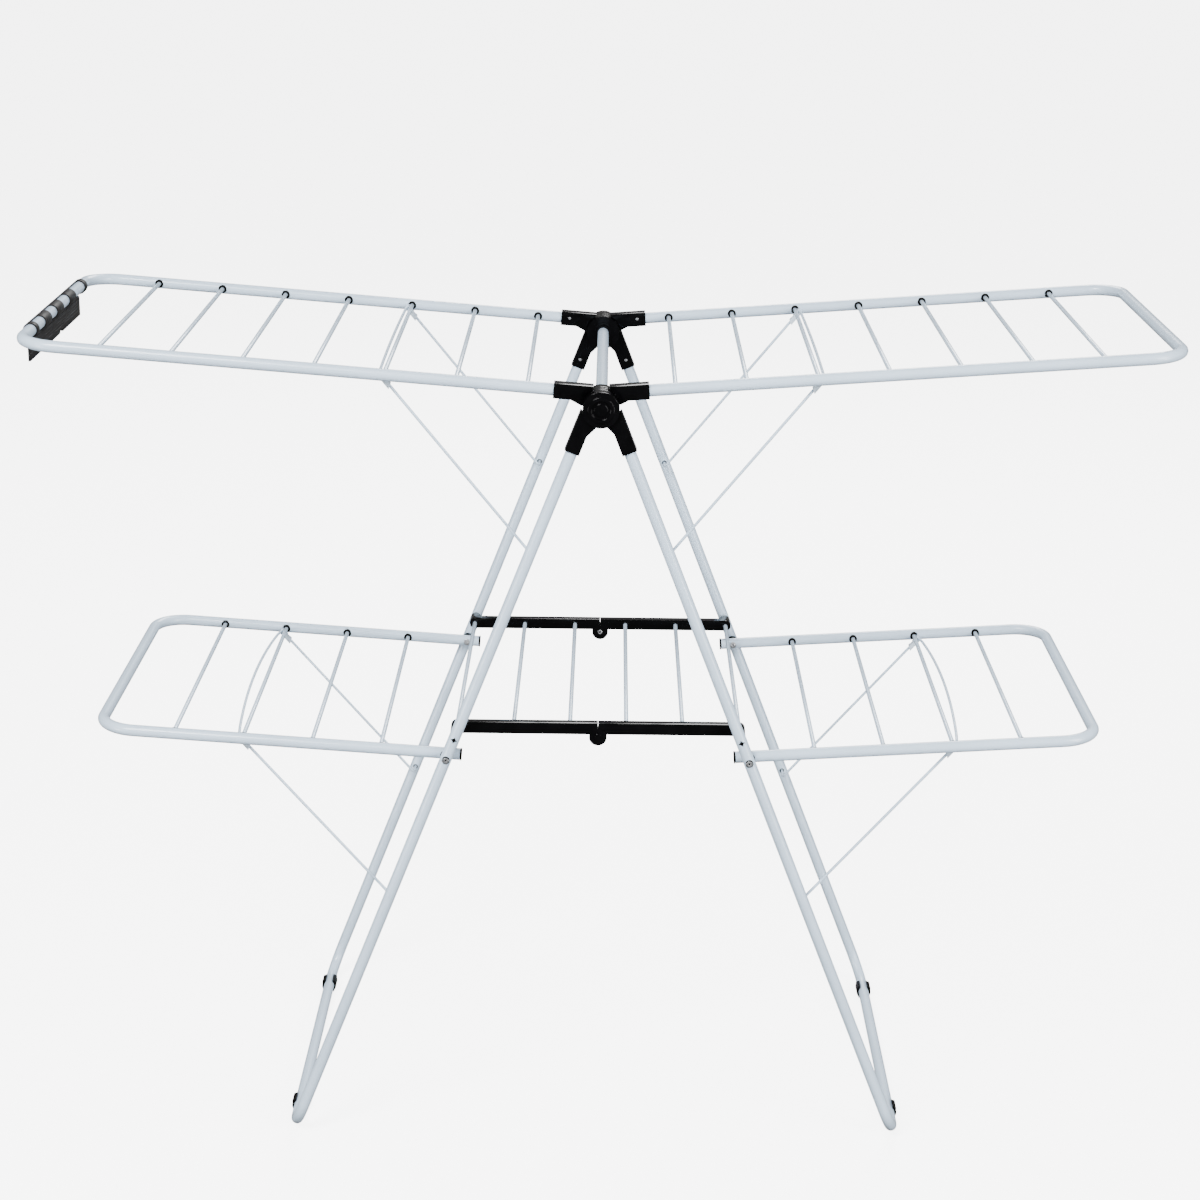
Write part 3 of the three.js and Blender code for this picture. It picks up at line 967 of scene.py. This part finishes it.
class RACK_OT_struts(bpy.types.Operator):
    """Bends the four wire struts and fits their hook clips"""

    bl_idname = "rack.struts"
    bl_label = "Struts"
    bl_options = {"REGISTER", "UNDO"}

    def execute(self, context):
        size = sizes()
        clip = self.clip()
        # Black rings at the legs' wire holes: painted shade standing in for the shadow in each hole.
        wire_hole_shade = wheel(-WIRE_HOLE_SHADE.proud, WIRE_HOLE_SHADE.sunk, WIRE_HOLE_SHADE.radius, 28)
        cut(wire_hole_shade, wheel(-PAST, PAST, size.wire + WIRE_HOLE_SHADE.play, 24))
        soften(wire_hole_shade, width=0.0004, segments=2)
        for side_name in SIDES:
            rod = middle(f"{side_name}_upper_rod_{STRUT_ROD}")
            self.strut(side_name, "upper", rod, size.upper_bow, clip, wire_hole_shade)
            rod = lower_rod(side_name, STRUT_ROD)
            self.strut(side_name, "lower", rod, size.lower_bow, clip, wire_hole_shade)
        discard(clip, wire_hole_shade)
        return {"FINISHED"}

    def strut(self, side_name, tier, rod, bow, clip, wire_hole_shade):
        size = sizes()
        side = SIDES[side_name]
        body = f"{side_name}_{tier}_strut"
        hole = pivots[f"{body}_fold"]
        away = Vector((side * (rod.x - hole.x), 0, rod.z - hole.z))
        angle = atan2(away.z, away.x) - asin(size.strut_side / away.length)
        turned = stand(side, Vector((cos(angle), 0, sin(angle))), hole)
        at_rod = sqrt(away.length**2 - size.strut_side**2)
        tip = at_rod + size.strut_beyond
        arm = size.strut_arm
        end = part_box(body)[1][1]
        corners = [(0, -end), (0, -arm), (tip, -arm), (tip, arm), (0, arm), (0, end)]
        wire = pipe(f"{body}_wire", corners, size.wire, size.strut_bend, 16)
        self.bow_out(wire, tip, arm, bow)
        move(wire, turned)
        dress(wire, "coat", body, [body], smooth=60)
        inner = leg_depth() - size.tube
        for end_name, sign in ENDS.items():
            at = turned @ shift(at_rod, sign * side * arm)
            fit(clip, f"{body}_{end_name}_hook_clip", at, "clip", body)
            # A black ring at the wire's hole in the leg: painted shade for the hole's shadow.
            place = shift(hole.x, sign * inner, hole.z) @ facing(sign)
            fit(wire_hole_shade, f"{body}_{end_name}_eyelet", place, "rubber", f"{side_name}_leg", smooth=60)

    def bow_out(self, wire, tip, arm, bow):
        """Curves the cross run outwards, most at its middle."""
        edit(wire)
        steps = [2 * i / BOW_STEPS - 1 for i in range(1, BOW_STEPS)]
        for k in steps:
            choose_all()
            bpy.ops.mesh.bisect(plane_co=(0, k * arm, 0), plane_no=(0, 1, 0))
        for k in steps:
            choose(wire, lambda v: abs(v.co.y - k * arm) < NEAR)
            bpy.ops.transform.translate(value=(bow * (1 - k * k), 0, 0))
        leave()

    def clip(self):
        """A moulded clip round the wire with a saddle that the rod sits in."""
        size = sizes()
        half = HOOK.half
        clip = block((-HOOK.back, -half, -HOOK.under), (HOOK.front, half, HOOK.over))
        edit(clip)
        choose(clip, lambda v: v.co.x < -HOOK.taper and v.co.z > 0)
        bpy.ops.transform.translate(value=HOOK.slope)
        leave()
        cut(clip, drum_y(0, size.strut_side, -PAST, PAST, size.rod + HOOK.play, 28))
        start, stop = HOOK.waist
        low = (start, -half - HOOK.half / 4, HOOK.waist_floor)
        cut(clip, block(low, (stop, half + HOOK.half / 4, HOOK.waist_top)))
        return soften(clip, width=0.0007, segments=3)


class RACK_OT_shelf(bpy.types.Operator):
    """Makes the folding shelf's half rails, knuckles and rivets"""

    bl_idname = "rack.shelf"
    bl_label = "Shelf"
    bl_options = {"REGISTER", "UNDO"}

    def execute(self, context):
        for side_name, side in SIDES.items():
            for end_name, sign in ENDS.items():
                self.rail(side_name, side, end_name, sign)
        self.rivets()
        return {"FINISHED"}

    def rail(self, side_name, side, end_name, sign):
        size = sizes()
        node = f"{side_name}_{end_name}_shelf_rail"
        body = f"{side_name}_shelf"
        outer = middle(f"{side_name}_shelf_rod_3")
        pitch = abs(outer.x) / 2.5
        pin = pivots["shelf_knuckle_fold"]
        depth = sign * shelf_depth()
        y0, y1 = depth - size.shelf_width / 2, depth + size.shelf_width / 2
        half = size.shelf_height / 2
        mine = sign if side < 0 else -sign
        ear = (depth + RAIL.split, y1) if mine > 0 else (y0, depth - RAIL.split)
        if mine > 0:
            rest = (y0 - RAIL.rest, depth + RAIL.split)
        else:
            rest = (depth - RAIL.split, y1 + RAIL.rest)
        x0, x1 = sorted((side * FIT, outer.x))
        rail = block((x0, y0, outer.z - half), (x1, y1, outer.z + half), f"{node}_moulding")
        add(rail, drum_y(outer.x, outer.z, y0, y1, half, 40))
        boss_out = sign * (leg_depth() - size.tube - RAIL.boss_gap)
        add(rail, drum_y(outer.x, outer.z, depth, boss_out, half - RAIL.boss_less, 40))
        cut(rail, drum_y(0, pin.z, rest[0], rest[1], size.knuckle + RAIL.knuckle_play, 48))
        add(rail, drum_y(0, pin.z, ear[0], ear[1], size.knuckle, 48))
        for i in range(2):
            x = side * (i + 0.5) * pitch
            inner = y0 if sign > 0 else y1
            start, stop = inner - sign * RAIL.collar_proud, inner + sign * RAIL.collar_sunk
            add(rail, drum_y(x, outer.z, start, stop, RAIL.collar, 28))
        soften(rail, width=0.0010, segments=3, angle=40)
        dress(rail, "plastic", body, [node])

    def rivets(self):
        """Tubular rivets with a rolled head inside the rack, and domed black caps outside it."""
        size = sizes()
        inner = shelf_depth() - size.shelf_width / 2
        outer = inner + size.shelf_width
        proud = size.rivet_proud
        rivet = wheel(inner, outer - RIVET.short, RIVET.shank, 28)
        add(rivet, wheel(inner - proud, inner - RIVET.gap, RIVET.head, 32))
        cut(rivet, wheel(inner - PAST, inner + RIVET.depth, RIVET.bore, 20))
        soften(rivet, width=0.0005, segments=3)
        dome = wheel(outer + RIVET.gap, outer + proud, RIVET.cap, 36)
        edit_faces(dome, lambda f: f.normal.y > 0.9)
        crown(RIVET.cap / 4, -RIVET.dome)
        soften(dome, width=0.0005, segments=3)
        for end_name, sign in ENDS.items():
            place = Matrix.Translation(pivots["shelf_knuckle_fold"]) @ facing(sign)
            fit(rivet, f"{end_name}_knuckle_rivet", place, "steel", "left_shelf")
            fit(dome, f"{end_name}_knuckle_cap", place, "plastic", "left_shelf")
        discard(rivet, dome)


class RACK_OT_feet(bpy.types.Operator):
    """Makes the foot clips"""

    bl_idname = "rack.feet"
    bl_label = "Foot Clips"
    bl_options = {"REGISTER", "UNDO"}

    def execute(self, context):
        low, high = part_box("left_front_foot_clip")
        clip = self.clip((high[1] - low[1]) / 2)
        for side_name in SIDES:
            for end_name in ENDS:
                node = f"{side_name}_{end_name}_foot_clip"
                at = middle(node)
                place = shift(at.x, at.y)
                fit(clip, f"{node}_moulding", place, "plastic", f"{side_name}_leg", [node])
        discard(clip)
        return {"FINISHED"}

    def clip(self, half):
        """A C-shaped moulding round the bottom bar, flat below, with lips at its mouth."""
        tube = sizes().tube
        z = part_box("left_leg_frame")[0][2] + tube
        foot = FOOT_CLIP
        past = half + PAST
        clip = drum_y(0, z, -half, half, foot.radius, 48)
        add(clip, block((-foot.flat, -half, 0), (foot.flat, half, z)))
        for way in (-1, 1):
            lip = drum_y(way * foot.lip_side, z + foot.lip_rise, -half, half, foot.lip, 24)
            add(clip, lip)
        cut(clip, drum_y(0, z, -past, past, tube + FIT, 48))
        cut(clip, block((-foot.mouth, -past, z), (foot.mouth, past, z + 3 * PAST)))
        cut(clip, block((-3 * PAST, -past, -3 * PAST), (3 * PAST, past, 0)))
        front, rear = foot.grooves
        for y in (-half + front, half - rear):
            low = (-2 * PAST, y, -PAST / 10)
            cut(clip, block(low, (2 * PAST, y + foot.groove, foot.groove)))
        return soften(clip, width=0.0006, segments=3)


class RACK_OT_fasteners(bpy.types.Operator):
    """Makes the wing bolts with their spacers and black rings of painted shade round their heads, the
    lock washer stars and the rails' end caps
    """

    bl_idname = "rack.fasteners"
    bl_label = "Fasteners"
    bl_options = {"REGISTER", "UNDO"}

    def execute(self, context):
        size = sizes()
        bolt = self.bolt()
        spacer_and_shade_ring = self.spacer_and_shade_ring()
        star = self.star()
        cap = self.cap()
        for side_name, side in SIDES.items():
            leg = leg_stand(side_name)
            wing = lower_stand(side_name)
            line = inside(leg, pivots[f"{side_name}_upper_strut_fold"]).z
            shelf_end = pivots["left_shelf_fold"] * Vector((side * -1, 1, 1))
            along = inside(leg, shelf_end).x + LOCK_WASHER.below_shelf
            at = Matrix.Translation(pivots[f"{side_name}_lower_wing_fold"])
            for end_name, sign in ENDS.items():
                body = f"{side_name}_leg"
                name = f"{side_name}_{end_name}"
                way = side * sign
                place = at @ facing(sign)
                fit(bolt, f"{name}_bolt", place, "steel", body)
                # Each bolt's black ring round its outer head, merged with the spacer, is painted
                # shade standing in for the head's shadow.
                fit(spacer_and_shade_ring, f"{name}_washers", place, "plastic", body, [f"{name}_pivot_bolt"])
                place = leg @ shift(along, way * (leg_depth() + size.tube), line) @ facing(way)
                fit(star, f"{name}_lock_washer", place, "rubber", body, slot="zinc_steel")
                place = wing @ shift(0, way * rail_depth())
                body = f"{side_name}_lower_wing"
                fit(cap, f"{name}_cap", place, "plastic", body, [f"{name}_end_cap"])
        discard(bolt, spacer_and_shade_ring, star, cap)
        return {"FINISHED"}

    def bolt(self):
        """A hollow-ended rivet through a rail and a leg, with a head on each."""
        size = sizes()
        face = leg_depth() + size.tube
        inner = rail_depth() - size.tube
        bolt = wheel(inner - BOLT.inner, face + BOLT.outer, size.rod, 28)
        start, stop, radius = BOLT.outer_head
        add(bolt, wheel(face + start, face + stop, radius, 36))
        start, stop, radius = BOLT.inner_head
        add(bolt, wheel(inner - start, inner - stop, radius, 36))
        cut(bolt, wheel(face + BOLT.outer_bore, face + PAST, BOLT.bore, 36))
        cut(bolt, wheel(inner - PAST, inner - BOLT.inner_bore, BOLT.bore, 36))
        return soften(bolt, width=0.0007, segments=3)

    def spacer_and_shade_ring(self):
        """The spacer between a rail and its leg, and a black ring round the outer head that stands in
        for the head's shadow: painted shade.
        """
        tube = sizes().tube
        face = leg_depth() + tube
        sunk, proud, radius = BOLT.seat
        seat = wheel(face - sunk, face + proud, radius, 36)
        start, stop = rail_depth() + tube + BOLT.play, leg_depth() - tube - BOLT.play
        spacer = wheel(start, stop, BOLT.spacer, 36)
        pair = merge([spacer, seat], "spacer_and_shade_ring")
        return soften(pair, width=0.0004, segments=2)

    def star(self):
        """A push-on lock washer: a small disc whose rim is cut to points."""
        star = wheel(-LOCK_WASHER.sunk, LOCK_WASHER.proud, LOCK_WASHER.radius, 16)
        edit(star)
        reach = lambda v: hypot(v.co.x, v.co.z)
        step = lambda v: round(atan2(v.co.z, v.co.x) / (pi / 8)) % 4
        choose(star, lambda v: reach(v) > 0.001 and step(v) != 0)
        root = LOCK_WASHER.root
        bpy.ops.transform.resize(value=(root, 1, root), center_override=(0, 0, 0))
        leave()
        return soften(star, width=0.0002, segments=2)

    def cap(self):
        """A cap in the inner end of a lower rail, of which the domed rim shows."""
        rim = -sizes().lower_stub - END_CAP.gap
        cap = drum((rim - END_CAP.rim, 0, 0), (rim, 0, 0), END_CAP.radius, 44)
        edit_faces(cap, lambda f: f.normal.x < -0.9)
        bpy.ops.mesh.inset(thickness=END_CAP.flat)
        bpy.ops.mesh.inset(thickness=END_CAP.edge)
        bpy.ops.transform.translate(value=(END_CAP.dish, 0, 0))
        leave()
        return soften(cap, width=0.0008, segments=3)


class RACK_OT_holder(bpy.types.Operator):
    """Makes the clip-on holder on the left wing's end bar"""

    bl_idname = "rack.holder"
    bl_label = "Clip-on Holder"
    bl_options = {"REGISTER", "UNDO"}

    def execute(self, context):
        size = sizes()
        low, high = (Vector(corner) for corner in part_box("clip_on_holder"))
        turned = upper_stand("left")
        line = inside(turned, middle("left_upper_rod_1")).z
        bar = turned @ Vector((size.upper_reach, 0, line))
        whole = self.sleeve(bar)
        add(whole, self.plate(bar, low, high))
        soften(whole, width=0.0005, segments=2, angle=45)
        whole.name = "holder_moulding"
        dress(whole, "holder", "left_upper_wing", ["clip_on_holder"])
        return {"FINISHED"}

    def sleeve(self, bar):
        """A tube round the bar, open below on its far side, with four windows over the bar."""
        y0, y1 = HOLDER.sleeve
        reach = HOLDER.reach
        sleeve = drum_y(bar.x, bar.z, y0, y1, HOLDER.radius, 64)
        cut(sleeve, drum_y(bar.x, bar.z, y0 - PAST, y1 + PAST, HOLDER.bore, 64))
        side, below = HOLDER.mouth
        low = (bar.x - reach, y0 - PAST, bar.z - reach)
        cut(sleeve, block(low, (bar.x + side, y1 + PAST, bar.z - below)))
        for start, stop in HOLDER.windows:
            low = (bar.x - HOLDER.window_start, start, bar.z - reach)
            window = block(low, (bar.x + reach, stop, bar.z + reach))
            soften(window, width=0.0025, segments=3)
            cut(sleeve, window)
        return sleeve

    def plate(self, bar, low, high):
        """The hanging plate: notched below, ribbed, with a row of slots near its top."""
        x0, x1 = (bar.x + x for x in HOLDER.plate)
        top = bar.z - HOLDER.plate_top
        y0, y1 = low.y, HOLDER.plate_end
        plate = block((x0, y0, low.z), (x1, y1, top))
        edit(plate)
        for y in HOLDER.notch:
            choose_all()
            bpy.ops.mesh.bisect(plane_co=(0, y, 0), plane_no=(0, 1, 0))
        start, stop = HOLDER.notch[1] - NEAR, HOLDER.notch[2] + NEAR
        choose(plate, lambda v: start < v.co.y < stop and v.co.z < low.z + NEAR)
        bpy.ops.transform.translate(value=(0, 0, HOLDER.notch_height))
        leave()
        for i in range(RIB.count):
            z = low.z + RIB.first + i * RIB.pitch
            start = (x0 - RIB.proud, y0 + RIB.margin, z)
            add(plate, block(start, (x1 + RIB.proud, y1 - RIB.margin, z + RIB.height)))
        start = (x0 - PAST, y0 + SLOT.start, top - SLOT.low)
        slot = block(start, (x1 + PAST, y0 + SLOT.stop, top - SLOT.high))
        pick(slot)
        row = slot.modifiers.new("row", "ARRAY")
        row.use_relative_offset = False
        row.use_constant_offset = True
        row.constant_offset_displace = (0, SLOT.pitch, 0)
        row.count = int((y1 - y0 - SLOT.margin) / SLOT.pitch)
        bpy.ops.object.modifier_apply(modifier=row.name)
        return cut(plate, slot)


class RACK_OT_stage(bpy.types.Operator):
    """Sets the camera, the floor and the lights"""

    bl_idname = "rack.stage"
    bl_label = "Stage"
    bl_options = {"REGISTER", "UNDO"}

    def execute(self, context):
        camera = bpy.data.objects.new("camera", bpy.data.cameras.new("camera"))
        bpy.context.collection.objects.link(camera)
        camera.data.sensor_width = 36
        camera.data.lens = LENS
        camera.data.clip_end = 400
        pitch, yaw, roll = CAMERA_PITCH, CAMERA_YAW, CAMERA_ROLL
        ahead = Vector((sin(yaw) * cos(pitch), cos(yaw) * cos(pitch), sin(pitch)))
        right = Vector((cos(yaw), -sin(yaw), 0))
        above = right.cross(ahead)
        x_axis = right * cos(roll) + above * sin(roll)
        y_axis = -right * sin(roll) + above * cos(roll)
        turn = Matrix((x_axis, y_axis, -ahead)).transposed().to_4x4()
        camera.matrix_world = Matrix.Translation(CAMERA_PLACE) @ turn
        bpy.context.scene.camera = camera
        self.floor()
        for lamp in LIGHTS:
            self.light(*lamp)
        world = bpy.context.scene.world or bpy.data.worlds.new("studio")
        bpy.context.scene.world = world
        world.use_nodes = True
        sky = world.node_tree.nodes["Background"]
        sky.inputs["Color"].default_value = (1.0, 1.0, 1.0, 1.0)
        sky.inputs["Strength"].default_value = SKY_STRENGTH
        return {"FINISHED"}

    def floor(self):
        deselect()
        bpy.ops.mesh.primitive_plane_add(size=240, location=(0, 0, -0.0002))
        floor = settle(bpy.context.object, "studio_floor")
        floor.visible_diffuse = False
        floor.visible_glossy = False
        floor.data.materials.append(studio_floor())

    def light(self, name, place, width, power):
        lamp = bpy.data.lights.new(name, "AREA")
        lamp.shape = "DISK"
        lamp.size = width
        lamp.energy = power
        holder = bpy.data.objects.new(name, lamp)
        bpy.context.collection.objects.link(holder)
        holder.location = place
        aim = Vector(LIGHT_AIM) - Vector(place)
        holder.rotation_euler = aim.to_track_quat("-Z", "Y").to_euler()


OPERATORS = (
    RACK_OT_stage,
    RACK_OT_leg_frames,
    RACK_OT_wing_frames,
    RACK_OT_rods,
    RACK_OT_hub,
    RACK_OT_hub_arms,
    RACK_OT_struts,
    RACK_OT_shelf,
    RACK_OT_feet,
    RACK_OT_fasteners,
    RACK_OT_holder,
)


class RACK_PT_panel(bpy.types.Panel):
    """Lists the rack's pieces, sizes and finishes"""

    bl_idname = "RACK_PT_panel"
    bl_label = "Clothes Rack"
    bl_space_type = "VIEW_3D"
    bl_region_type = "UI"
    bl_category = "Rack"

    def draw(self, context):
        for operator in OPERATORS:
            self.layout.operator(operator.bl_idname)
        for group in (context.scene.rack_sizes, context.scene.rack_finishes):
            box = self.layout.box()
            for name in group.__annotations__:
                box.prop(group, name)


CLASSES = (RackSizes, RackFinishes, *OPERATORS, RACK_PT_panel)


def register():
    for each in CLASSES:
        bpy.utils.register_class(each)
    bpy.types.Scene.rack_sizes = PointerProperty(type=RackSizes)
    bpy.types.Scene.rack_finishes = PointerProperty(type=RackFinishes)


def unregister():
    del bpy.types.Scene.rack_finishes
    del bpy.types.Scene.rack_sizes
    for each in reversed(CLASSES):
        bpy.utils.unregister_class(each)


def main():
    register()
    for operator in OPERATORS:
        group, name = operator.bl_idname.split(".")
        getattr(getattr(bpy.ops, group), name)()
    deselect()


if __name__ == "__main__":
    main()
